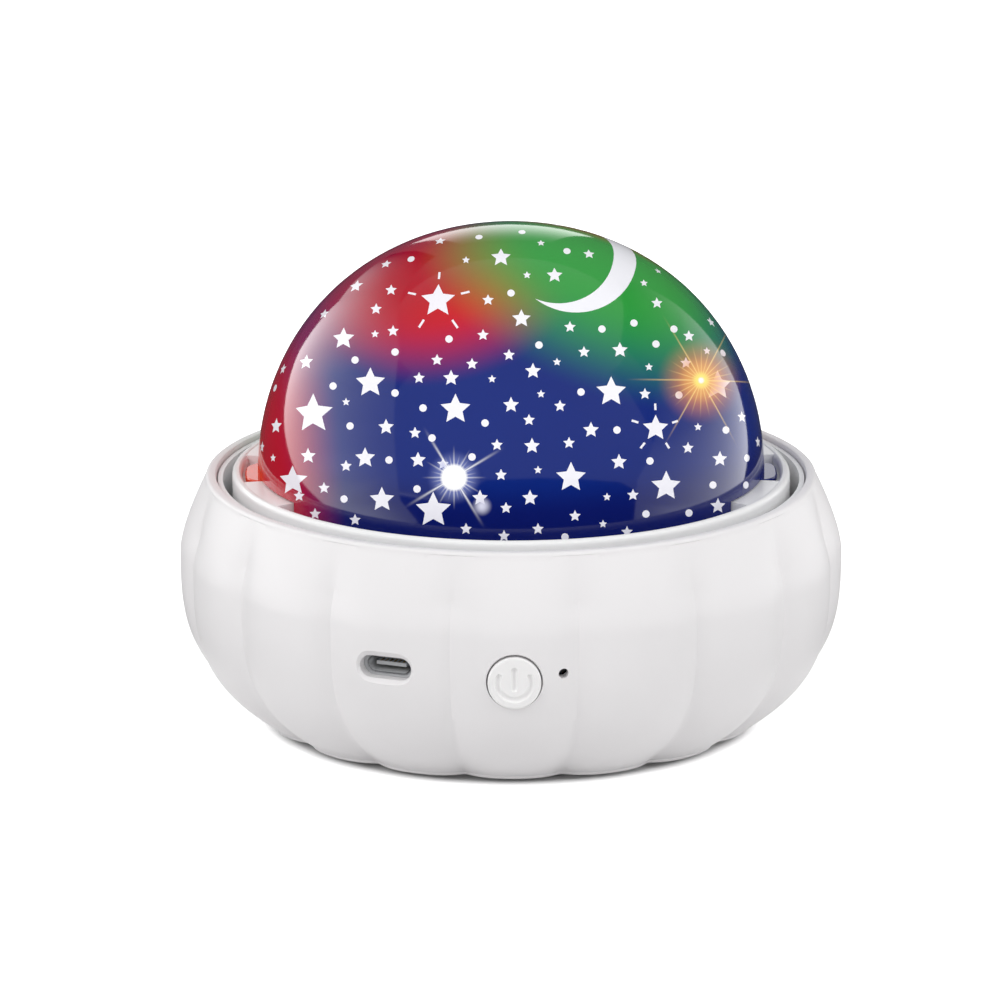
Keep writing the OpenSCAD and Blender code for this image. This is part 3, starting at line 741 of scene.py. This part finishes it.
# The crescent is a flat picture pressed on the dome from the front. Its two
# circles are given as right, up and radius, in mm from the dome's middle.
MOON_OUTER = (12.1, 42.8, 12.4)
MOON_INNER = (8.8, 43.4, 11.2)
PRESS_ELEVATION = 15
PRESS_EDGE = 0.93
FILL = [("star", 1.55, 20), ("star", 1.15, 52), ("star", 0.8, 20), ("dot", DOT_R, 42)]
FILL_GAP = 0.9
FILL_BEYOND = 0.08
FILL_TRIES = 26
FILL_SEED = 11
INK, WINDOW = 0, 1
GRID_STEP = 2.5


def profile_point(elevation, shrink=0.0):
    """(r, z) on the dome's skin seen from its middle at an elevation in degrees."""
    r_max, h_max = DOME_R - shrink, DOME_H - shrink
    if elevation <= 0:
        return r_max, EQUATOR_Z + r_max * math.tan(math.radians(elevation))
    if elevation >= 89.999:
        return 0.0, EQUATOR_Z + h_max
    power = 2 / DOME_FULLNESS
    t = math.atan((math.tan(math.radians(elevation)) * r_max / h_max) ** (1 / power))
    return r_max * math.cos(t) ** power, EQUATOR_Z + h_max * math.sin(t) ** power


def skirt_elevation(z):
    """Elevation at which the straight skirt has a height z."""
    return math.degrees(math.atan((z - EQUATOR_Z) / DOME_R))


def chart(azimuth, elevation):
    """Place on a flat chart of the dome, with its top in the middle, in degrees."""
    rho, a = 90 - elevation, math.radians(azimuth)
    return Vector((rho * math.sin(a), -rho * math.cos(a)))


def from_chart(point, shrink=0.0):
    """The dome's skin at a place on the chart, in mm."""
    rho = point.length
    r, z = profile_point(90 - rho, shrink)
    if rho < 1e-9:
        return Vector((0, 0, z))
    return Vector((r * point.x / rho, r * point.y / rho, z))


def direction(azimuth, elevation):
    a, e = math.radians(azimuth), math.radians(elevation)
    return Vector((math.sin(a) * math.cos(e), -math.cos(a) * math.cos(e), math.sin(e)))


def drawn_from(out):
    """The direction a motif on the dome is drawn for: the front, or nearer its own."""
    front = direction(VIEW_AZIMUTH, VIEW_ELEVATION)
    facing = max(-1.0, min(1.0, out.dot(front)))
    lean = min(math.acos(facing), LEAN_MOST) * max(0.0, min(1.0, facing / LEAN_FADE))
    toward = (front - out * facing).normalized()
    return out * math.cos(lean) + toward * math.sin(lean)


def motif_axes(azimuth, elevation):
    """Outwards at a place on the dome, and the view, right and up a motif is drawn with."""
    out = direction(azimuth, elevation)
    view = drawn_from(out)
    right = Vector((-view.y, view.x, 0)).normalized()
    return out, view, right, view.cross(right)


def motif(azimuth, elevation, outline):
    """An outline in mm, (right, up), laid on the dome and returned on the chart."""
    out, view, right, up = motif_axes(azimuth, elevation)
    points = []
    for x, y in outline:
        flat = right * x + up * y
        points.append(toward_chart(out * DOME_R + flat - view * (flat.dot(out) / view.dot(out))))
    return points


def seen_at(px_x, px_y):
    """Azimuth and elevation of the place on the dome that a pixel shows."""
    eye, target, right, up = (v / MM for v in view_axes())
    middle = Vector((0, 0, EQUATOR_Z))
    past = target + (right * (px_x - IMAGE_PX / 2) + up * (IMAGE_PX / 2 - px_y)) * MM / PX_PER_MM
    along = (past - eye).normalized()
    near, far = 0.0, (middle - eye).dot(along)
    for _ in range(50):
        half = (near + far) / 2
        spot = eye + along * half - middle
        elevation = math.degrees(math.atan2(spot.z, math.hypot(spot.x, spot.y)))
        r, z = profile_point(elevation)
        if spot.length < math.hypot(r, z - EQUATOR_Z):
            far = half
        else:
            near = half
    return math.degrees(math.atan2(spot.x, -spot.y)), elevation


def star(size):
    """Five-pointed star with one point up."""
    points = []
    for i in range(10):
        r = size if i % 2 == 0 else size * STAR_WAIST
        a = math.radians(90 + 36 * i)
        points.append((r * math.cos(a), r * math.sin(a)))
    return points


def toward_chart(p):
    """The chart place of a direction from the dome's middle."""
    return chart(math.degrees(math.atan2(p.x, -p.y)),
                 math.degrees(math.atan2(p.z, math.hypot(p.x, p.y))))


def pressed(x, y):
    """The direction that a place on a flat picture takes on the dome."""
    out = direction(0, PRESS_ELEVATION)
    flat = Vector((1, 0, 0)) * x + out.cross(Vector((1, 0, 0))) * y
    share = flat.length / DOME_R
    edge = math.asin(PRESS_EDGE)
    turn = math.asin(share) if share < PRESS_EDGE else edge + (share - PRESS_EDGE) / math.cos(edge)
    return out * math.cos(turn) + flat.normalized() * math.sin(turn)


def crescent():
    """Directions round the moon, between its two circles."""
    a, b = Vector(MOON_OUTER[:2]), Vector(MOON_INNER[:2])
    r_a, r_b = MOON_OUTER[2], MOON_INNER[2]
    gap = (b - a).length
    along = (r_a ** 2 - r_b ** 2 + gap ** 2) / (2 * gap)
    axis = (b - a) / gap
    reach = math.sqrt(r_a ** 2 - along ** 2)
    tips = [a + axis * along + Vector((-axis.y, axis.x)) * reach * side for side in (1, -1)]

    def arc(middle, start, end, turn_sign):
        first = math.atan2(start.y - middle.y, start.x - middle.x)
        sweep = (math.atan2(end.y - middle.y, end.x - middle.x) - first) * turn_sign % (2 * math.pi)
        r = (start - middle).length
        return [middle + Vector((math.cos(first + turn_sign * sweep * i / 40),
                                 math.sin(first + turn_sign * sweep * i / 40))) * r
                for i in range(40)]

    low, high = sorted(tips, key=lambda tip: tip.y)
    outline = arc(a, low, high, 1) + arc(b, high, low, -1)
    return [pressed(*place) for place in outline]


def ray(size, turn):
    """One short ray outside the tip of a star."""
    a = math.radians(90 + turn)
    along, across = Vector((math.cos(a), math.sin(a))), Vector((-math.sin(a), math.cos(a)))
    half = RAY_HALF_W
    near, far = RAY_SPAN
    return [tuple(along * size * s + across * w) for s, w in
            ((near, -half), (far, -half), (far, half), (near, half))]


def print_motifs():
    """Every window in the print, as outlines on the chart."""
    taken, outlines = [], []

    def place(azimuth, elevation, size, kind="star"):
        outline = star(size) if kind == "star" else circle(size, 14)
        taken.append((direction(azimuth, elevation), size))
        outlines.append(motif(azimuth, elevation, outline))

    for row in LARGE_STARS:
        place(*row)
    for azimuth, elevation, size in RAYED_STARS:
        taken.append((direction(azimuth, elevation), size * RAY_ROOM))
        for turn in range(0, 360, 72):
            outlines.append(motif(azimuth, elevation, ray(size, turn)))
    moon = crescent()
    outlines.append([toward_chart(p) for p in moon])
    taken += [(p.normalized(), MOON_ROOM) for p in moon[::3]]
    for kind, size, places in PRINT_SEEN:
        for spot in places:
            place(*seen_at(*spot), size, kind)
    front = direction(VIEW_AZIMUTH, VIEW_ELEVATION)
    dice = random.Random(FILL_SEED)
    wanted = [(kind, size) for kind, size, count in FILL for _ in range(count)]
    dice.shuffle(wanted)
    lowest = math.sin(math.radians(skirt_elevation(DOME_Z)))
    for kind, size in wanted:
        best, best_room = None, FILL_GAP
        for _ in range(FILL_TRIES):
            azimuth = dice.uniform(-180, 180)
            elevation = math.degrees(math.asin(dice.uniform(lowest, 0.998)))
            spot = direction(azimuth, elevation)
            if spot.dot(front) > FILL_BEYOND:
                continue
            room = min((spot - other).length * DOME_R - reach - size for other, reach in taken)
            if room > best_room:
                best, best_room = (azimuth, elevation), room
        if best:
            place(*best, size, kind)
    return outlines


def notch_floor(azimuth):
    """Height of the dome's lower edge at an azimuth from the front."""
    from_ear = abs(abs((azimuth + 180) % 360 - 180) - 90)
    return DOME_Z + NOTCH_H if NOTCH[0] < from_ear < NOTCH[1] else DOME_Z


def edge_outline():
    """The dome's lower edge on the chart, stepping up at the notches."""
    near, far = NOTCH
    steps = [ear + turn for ear in (-90, 90) for turn in (-far, -near, near, far)]
    whole = int(180 / GRID_STEP)
    points = []
    for stop in sorted(set([a * GRID_STEP for a in range(-whole, whole)] + steps)):
        for azimuth in (stop - 0.01, stop + 0.01) if stop in steps else (stop,):
            points.append(chart(azimuth, skirt_elevation(notch_floor(azimuth))))
    return points


def chart_grid():
    """Points spread over the chart, so that the dome is round between motifs."""
    points = [Vector((0, 0))]
    for ring in range(1, int(90 / GRID_STEP) + 1):
        rho = ring * GRID_STEP
        count = max(8, int(round(360 / GRID_STEP * math.sin(math.radians(rho)))))
        for i in range(count):
            a = 2 * math.pi * (i + 0.5 * (ring % 2)) / count
            points.append(Vector((rho * math.sin(a), -rho * math.cos(a))))
    return points


def skin_normal(point):
    """The dome's true normal at a place on the chart."""
    rho = point.length
    if rho < 1e-6:
        return Vector((0, 0, 1))
    step = 0.05
    if rho >= 90:
        flat = Vector((1, 0))
    else:
        r1, z1 = profile_point(90 - rho + step)
        r2, z2 = profile_point(90 - rho - step)
        flat = Vector((z1 - z2, r2 - r1)).normalized()
    return Vector((flat.x * point.x / rho, flat.x * point.y / rho, flat.y))


def make_dome():
    edge = edge_outline()
    points, loops = list(edge), [list(range(len(edge)))]
    for outline in print_motifs():
        loops.append(list(range(len(points), len(points) + len(outline))))
        points += outline
    points += chart_grid()
    flat, _, faces, _, _, origins = delaunay_2d_cdt(points, [], loops, 1, 1e-5, True)
    kept = [(face, len(origin) > 1) for face, origin in zip(faces, origins) if 0 in origin]
    used = sorted({i for face, _ in kept for i in face})
    place = {old: new for new, old in enumerate(used)}
    flat = [flat[i] for i in used]
    outer = [from_chart(p) for p in flat]
    inner = [from_chart(p, DOME_WALL) for p in flat]
    count = len(flat)
    verts = outer + inner
    polygons, ink, sides = [], [], []
    for face, window in kept:
        face = [place[i] for i in face]
        polygons += [tuple(face), tuple(count + i for i in reversed(face))]
        ink += [WINDOW if window else INK] * 2
        sides += zip(face, face[1:] + face[:1])
    shared = set(sides)
    rim = [(j, i, count + i, count + j) for i, j in sides if (j, i) not in shared]
    polygons += rim
    ink += [INK] * len(rim)
    dome = piece("dome_print", verts, polygons, [printed_film, clear_window], "dome",
                 "dome_print", "star_dome")
    mesh = dome.data
    mesh.polygons.foreach_set("material_index", ink)
    mesh.shade_smooth()
    normals = [skin_normal(p) for p in flat]
    corner = [Vector((0, 0, 0))] * len(mesh.loops)
    for polygon in mesh.polygons:
        for loop in polygon.loop_indices:
            v = mesh.loops[loop].vertex_index
            if len(polygon.vertices) == 4:
                corner[loop] = polygon.normal.copy()
            else:
                corner[loop] = normals[v] if v < count else -normals[v - count]
    mesh.normals_split_custom_set(corner)


def make_ears():
    """The two flat ears, with round corners, that sit in the tray."""
    half = math.degrees(EAR_HALF_W / EAR_R)
    corner, edge, sunk = 5.0, 0.3, 0.9
    bottom, top = EAR_Z
    parts = []
    for side in (90, -90):
        inner = [(side - half + 2 * half * i / 12, DOME_R - sunk) for i in range(13)]
        outer = []
        for i in range(25):
            share = 1 - 2 * i / 24
            over = max(0.0, abs(share) * EAR_HALF_W - (EAR_HALF_W - corner))
            r = EAR_R - corner + math.sqrt(max(0.0, corner ** 2 - over ** 2))
            outer.append((side + half * share, r))
        parts.append(loft([[from_front(a, r, 0, z) for a, r in inner]
                           + [from_front(a, r - inset, 0, z) for a, r in outer]
                           for z, inset in ((bottom, edge), (bottom + edge, 0), (top - edge, 0),
                                            (top, edge))]))
    ears = piece("dome_ears", *joined(parts), [printed_film], "dome", "dome_print")
    face_outwards(ears.data)
    smooth(ears, 40)


# The light of the lamps through the print: azimuth, elevation, inner and outer
# reach in degrees, colour, and how much of the ink's own colour it hides.
GLOWS = [
    (-33, 63, 7, 31, "cd0c10", 1.0), (-85, -2, 20, 46, "b80f22", 0.95),
    (-75, 62, 10, 34, "a8142c", 0.8), (-87, -3, 4, 15, "d8421a", 0.9),
    (64, 66, 14, 44, "31993f", 1.0), (150, 48, 6, 36, "cd0c10", 0.95),
    (-140, 20, 8, 40, "31993f", 0.95),
]
# Painted shade: the print turns darker towards the dome's lower edge, between these elevations in
# degrees, standing in for the dark reflection there.
PAINTED_SHADE_TOP, PAINTED_SHADE_BOTTOM = 14.0, 5.0
# Painted glints: bright images of the lamps, painted over the print as colour: azimuth,
# elevation, and layers from the outside in. A layer fades out between two distances in mm,
# and has a share and a colour. Rays stand where a layer's two distances would: how many,
# how far in mm, how thin, and a turn in radians.
AMBER_RAYS = [(24, 7.5, 5, 0.3), (6, 15.0, 110, 0.0)]
WHITE_RAYS = [(28, 4.6, 2, 0.4), (12, 6.4, 14, 0.0), (4, 11.5, 70, 2.06)]
SPARKS = [
    (56.5, 29.5, [((0.8, 9.0), 0.85, "e88a48"), ((0.8, 4.95), 1.0, "f0b060"),
                  (AMBER_RAYS, 1.0, "ffd98a"), ((0.8, 2.08), 1.0, "ffe97a"),
                  ((0.24, 0.8), 1.0, "ffffff")]),
    (-13.5, 13.5, [((2.1, 5.4), 0.55, "8e9ad8"), (WHITE_RAYS, 1.0, "ffffff"),
                   ((2.1, 2.835), 1.0, "ffffff")]),
    (-7, 7.5, [((0.1, 2.1), 1.0, "dcdcee")]),
]


def from_middle(tree, place):
    """Direction of a place as seen from the dome's middle."""
    return vector(tree, "NORMALIZE", vector(tree, "SUBTRACT", place, (0, 0, EQUATOR_Z * MM)))


def glow_colour(tree, toward, colour):
    """The colour with each glow mixed in by its angle from the glow's middle."""
    for azimuth, elevation, inner, outer, code, most in GLOWS:
        near = vector(tree, "DOT_PRODUCT", toward, direction(azimuth, elevation))
        start, end = math.cos(math.radians(outer)), math.cos(math.radians(inner))
        colour = blend(tree, ramp(tree, near, start, end, 0.0, most), colour, code)
    return colour


def spark_axes(tree, toward, azimuth, elevation):
    """Distance in mm and angle about a spark's middle, as drawn from the front."""
    out, _, right, up = motif_axes(azimuth, elevation)
    offset = vector(tree, "SUBTRACT", toward, out)
    x, y = (vector(tree, "DOT_PRODUCT", offset, axis) for axis in (right, up))
    far = vector(tree, "LENGTH", add(tree, "CombineXYZ", {"X": x, "Y": y}).outputs[0])
    # A place on the far side of the dome is put out of reach.
    behind = reckon(tree, "LESS_THAN", vector(tree, "DOT_PRODUCT", toward, out), 0.0)
    mm = reckon(tree, "MULTIPLY", reckon(tree, "ADD", far, behind), DOME_R)
    return mm, reckon(tree, "ARCTAN2", y, x)


def spark_rays(tree, mm, angle, sets):
    """Rays that thin out to points away from a spark's middle."""
    most = 0.0
    for count, reach, thin, turn in sets:
        wave = reckon(tree, "COSINE", reckon(tree, "MULTIPLY_ADD", angle, count / 2, turn))
        power = reckon(tree, "MULTIPLY_ADD", mm, thin, 2.0)
        line = reckon(tree, "POWER", reckon(tree, "ABSOLUTE", wave), power)
        light = reckon(tree, "MULTIPLY", line, ramp(tree, mm, 0.0, reach, 1.0, 0.0))
        most = reckon(tree, "MAXIMUM", light, most)
    return most


def add_sparks(tree, toward, colour):
    """Paints the lamp images over the print, as glints in its colour."""
    for azimuth, elevation, layers in SPARKS:
        mm, angle = spark_axes(tree, toward, azimuth, elevation)
        for shape, most, code in layers:
            if isinstance(shape, list):
                share = spark_rays(tree, mm, angle, shape)
            else:
                share = ramp(tree, mm, *shape, most, 0.0)
            colour = blend(tree, share, colour, code)
    return colour


def lit_print(name, ink_low, ink_high, painted_shade, glow_share, sockets):
    """Film under a clear polycarbonate skin, lit from inside by the lamps."""
    def build(tree, shader, place):
        toward = from_middle(tree, place)
        ink = blend(tree, grain(tree, place, 34), ink_low, ink_high)
        # Painted shade: towards the dome's lower edge the colour is mixed with a darker one.
        height = add(tree, "SeparateXYZ", {0: toward}).outputs["Z"]
        low = ramp(tree, height, math.sin(math.radians(PAINTED_SHADE_BOTTOM)),
                   math.sin(math.radians(PAINTED_SHADE_TOP)), 1.0, 0.0)
        ink = blend(tree, low, ink, painted_shade)
        glowing = blend(tree, glow_share, ink, glow_colour(tree, toward, ink))
        colour = add_sparks(tree, toward, glowing)
        tree.links.new(colour, shader.inputs["Base Color"])
        tree.links.new(colour, shader.inputs["Emission Color"])
        bump(tree, shader, grain(tree, place, 9), 0.01)
    return surface(name, sockets, build)


SKIN = {"Roughness": 0.07, "IOR": 1.585, "Specular IOR Level": 0.3}
# Blue ink on clear polycarbonate: deep colour under a mirror-smooth skin, with painted shade making it
# darker still low on the dome.
printed_film = lit_print("polycarbonate_printed_film", "0a2270", "10297c", "0c1862", 1.0,
                         {**SKIN, "Emission Strength": 0.1})
# Where the ink stops, the frosted film under the skin shows as bright white.
clear_window = lit_print("polycarbonate_frosted_window", "efeef6", "f5f4fa", "efeef6", 0.03,
                         {**SKIN, "Emission Strength": 0.12})

make_dome()
make_ears()


# ---- Stage: floor, lights and what the dome mirrors ----

# How much the floor is lifted to white for the eye: none under the object, then
# up to a share beside it and to full white away from it; radii in mm.
CONTACT_R = (46.2, 50.5)
FLOOR_NEAR = 0.7
SHADOW_R = 160
FLOOR_HALF_W = 6000
# How bright the white sky is as a light; the camera sees it at 1.
SKY_LIGHT = 0.62


def seen_ray(tree):
    """1 for what the camera sees, straight or through gloss and glass."""
    path = add(tree, "LightPath")
    seen = path.outputs["Is Camera Ray"]
    for kind in ("Is Glossy Ray", "Is Transmission Ray"):
        seen = reckon(tree, "MAXIMUM", seen, path.outputs[kind])
    return seen


def make_floor():
    """Pale sheet of paper under the object, white to the camera away from it."""
    def build(tree, shader, place):
        away = vector(tree, "LENGTH", place)
        far = 0.0
        for start, end, share in ((*CONTACT_R, FLOOR_NEAR), (CONTACT_R[1], SHADOW_R, 1 - FLOOR_NEAR)):
            far = reckon(tree, "ADD", ramp(tree, away, start * MM, end * MM, 0.0, share), far)
        tree.links.new(reckon(tree, "MULTIPLY", seen_ray(tree), far), shader.inputs["Emission Strength"])

    corners = [(x * FLOOR_HALF_W, y * FLOOR_HALF_W, 0) for x, y in ((-1, -1), (1, -1), (1, 1), (-1, 1))]
    floor = placed("floor", mesh_of("floor", corners, [(0, 1, 2, 3)]))
    floor.data.materials.append(surface("paper_backdrop", {
        "Base Color": linear("e2e2e2"), "Roughness": 0.9, "Specular IOR Level": 0.1,
        "Emission Color": linear("ffffff")}, build))


def make_lights():
    """Two square softboxes, in metres and watts, that no gloss mirrors, and a white sky."""
    for name, place, power in (("left_softbox", (-1.1, -0.95, 1.15), 9.6),
                               ("right_softbox", (1.2, -0.75, 1.0), 7.4)):
        data = bpy.data.lights.new(name, "AREA")
        data.shape = "RECTANGLE"
        data.size, data.size_y = 1.0, 1.0
        data.energy = power
        aimed(name, data, place, (0, 0, 0.04)).visible_glossy = False
    world = bpy.data.worlds.new("studio")
    world.use_nodes = True
    tree = world.node_tree
    seen = add(tree, "LightPath").outputs["Is Camera Ray"]
    strength = ramp(tree, seen, 0.0, 1.0, SKY_LIGHT, 1.0, "LINEAR")
    background = tree.nodes["Background"]
    background.inputs["Color"].default_value = linear("ffffff")
    tree.links.new(strength, background.inputs["Strength"])
    bpy.context.scene.world = world


def reflector_strip(name, first, last, high, low, fade_in=0.0):
    """A sheet seen only in glossy surfaces, between two edges given in mm.

    It fades from high on the first edge to low on the last, and may fade in along
    a first share of its length."""
    count = len(first)
    faces = [(i, i + 1, count + i + 1, count + i) for i in range(count - 1)]
    mesh = mesh_of(name, first + last, faces)
    uv = mesh.uv_layers.new(name="fade")
    for loop in mesh.loops:
        row = loop.vertex_index % count
        uv.data[loop.index].uv = (loop.vertex_index // count, row / (count - 1))
    card = placed(name, mesh)
    material = bpy.data.materials.new(name + "_light")
    material.use_nodes = True
    tree = material.node_tree
    tree.nodes.clear()
    across = add(tree, "SeparateXYZ", {0: add(tree, "UVMap", uv_map="fade").outputs["UV"]})
    strength = ramp(tree, across.outputs["X"], 0.0, 1.0, high, low)
    if fade_in:
        strength = reckon(tree, "MULTIPLY", strength, ramp(tree, across.outputs["Y"], 0.0, fade_in))
    light = add(tree, "Emission", {"Color": linear("ffffff"), "Strength": strength})
    tree.links.new(light.outputs[0], add(tree, "OutputMaterial").inputs["Surface"])
    mesh.materials.append(material)
    for ray in ("camera", "diffuse", "shadow", "transmission"):
        setattr(card, "visible_" + ray, False)


def make_cards():
    """What the dome's clear skin mirrors: two side softboxes, a strip behind and a
    dark flag in front. Each row gives (y, z) on the bright and on the faint edge."""
    left = [((675, 177), (480, 420)), ((241, 147), (110, 274)), ((175, 92), (-26, 230)),
            ((122, 76), (-62, 195)), ((80, 61), (-88, 166)), ((47, 50), (-108, 136)),
            ((14, 38), (-124, 107)), ((-24, 29), (-138, 75)), ((-64, 19), (-148, 45)),
            ((-146, 4), (-190, 14))]
    right = [((220, 300), (-20, 240)), ((170, 160), (-40, 151)), ((130, 70), (-79, 101)),
             ((93, 36), (-98, 84)), ((61, 20), (-121, 66)), ((-26, 18), (-127, 40)),
             ((-70, 17), (-129, 20))]
    for name, side, rows, high, low, fade_in in (("left_card", -150, left, 3.6, 1.2, 0.25),
                                                 ("right_card", 150, right, 3.2, 1.1, 0.55)):
        reflector_strip(name, [(side, y, z) for (y, z), _ in rows],
                        [(side, y, z) for _, (y, z) in rows], high, low, fade_in)
    reflector_strip("back_card", *[[(x, 1500, z) for x in (-220, 200)] for z in (240, 900)], 1.8, 0.3)
    reflector_strip("front_flag", [(-80, -400, 118), (83, -400, 124), (223, -400, 117), (438, -400, 95)],
                    [(x, -90, 2) for x in (-120, 0, 140, 240)], 0.0, 0.0)
    room_r, room_h = 2200, 2400
    for name, (start, end), rings, high, low in (
            ("floor_flag", (0, 361), ((80, 1), (room_r, 1)), 0.05, 0.05),
            ("rear_flag", (70, 291), ((room_r, 1), (room_r, room_h)), 0.08, 0.3)):
        edges = [[from_front(a, r, 0, z) for a in range(start, end, 10)] for r, z in rings]
        reflector_strip(name, *edges, high, low)


make_floor()
make_lights()
make_cards()
bpy.context.scene.view_settings.view_transform = "Standard"
